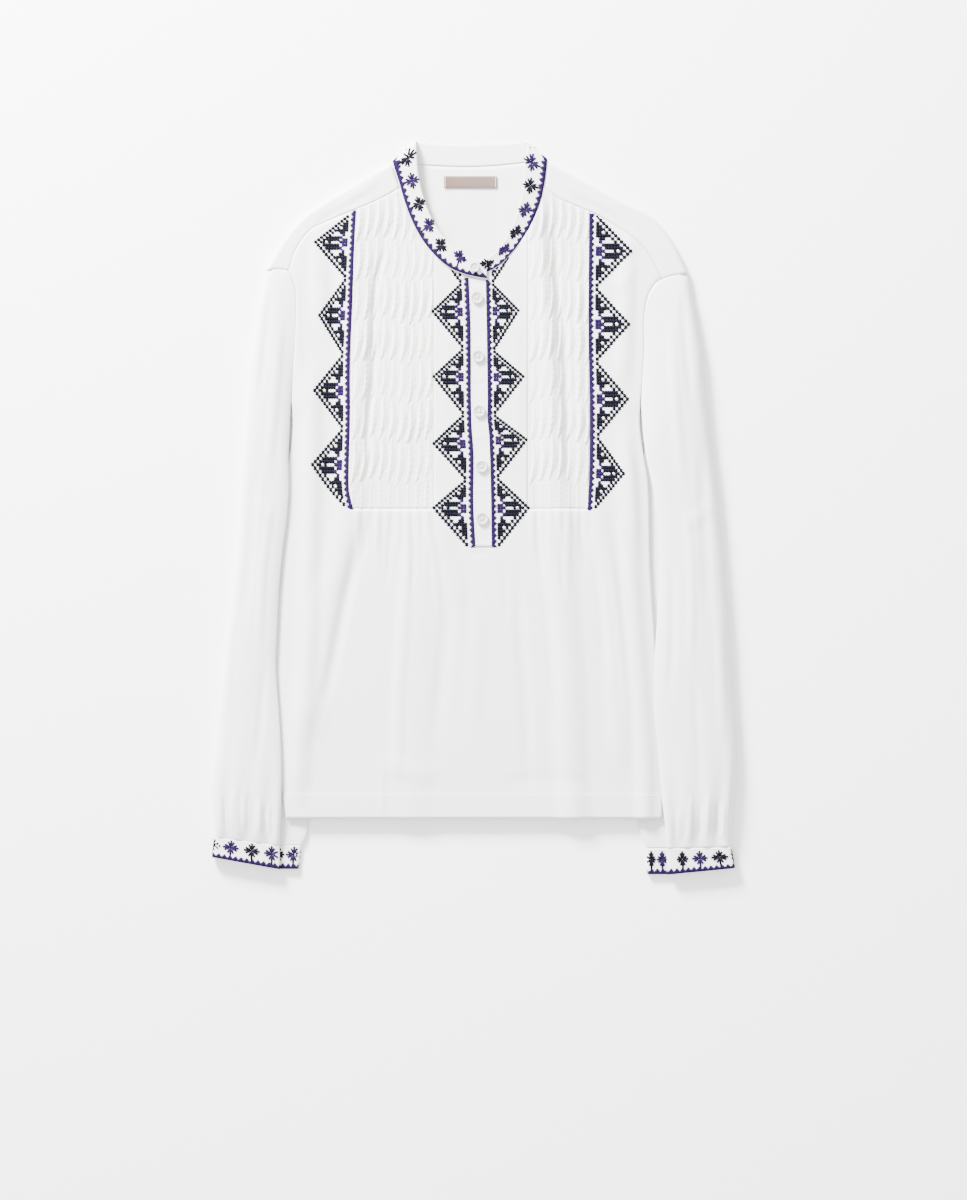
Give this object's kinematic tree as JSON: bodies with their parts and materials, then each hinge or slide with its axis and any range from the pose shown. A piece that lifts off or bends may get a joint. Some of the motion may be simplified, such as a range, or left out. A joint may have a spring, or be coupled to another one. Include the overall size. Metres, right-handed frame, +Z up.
{
  "type": "embroidered blouse",
  "caption": "Long-sleeved folk blouse laid flat on its back, with tucked front inserts, a short button placket and a narrow collar. Open at hem, neck and cuffs.",
  "frame": {"origin": "middle of the laid garment's outline, on the surface it lies on", "axes": "+X to the right of the picture, +Y from the hem to the collar, +Z up from the surface"},
  "size_m": [0.4972, 0.6969, 0.0157],
  "materials": {
    "cloth": "matte woven cotton, off-white",
    "tucks": "matte tucked cotton, off-white",
    "trim": "matte woven cotton, off-white, with dark embroidery",
    "label": "woven ribbon, dusty pink-brown",
    "button": "pearly, slightly translucent"
  },
  "bodies": {
    "root": {"front": "cloth", "back": "cloth", "yoke": "cloth", "sleeve_left": "cloth", "sleeve_right": "cloth", "insert_left": "tucks", "insert_right": "tucks", "collar": "trim", "cuff_left": "trim", "cuff_right": "trim", "placket": "trim", "underlap": "trim", "label": "label", "button_1": "button", "button_2": "button", "button_3": "button", "button_4": "button", "button_5": "button", "button_collar": "button"}
  },
  "joints": []
}
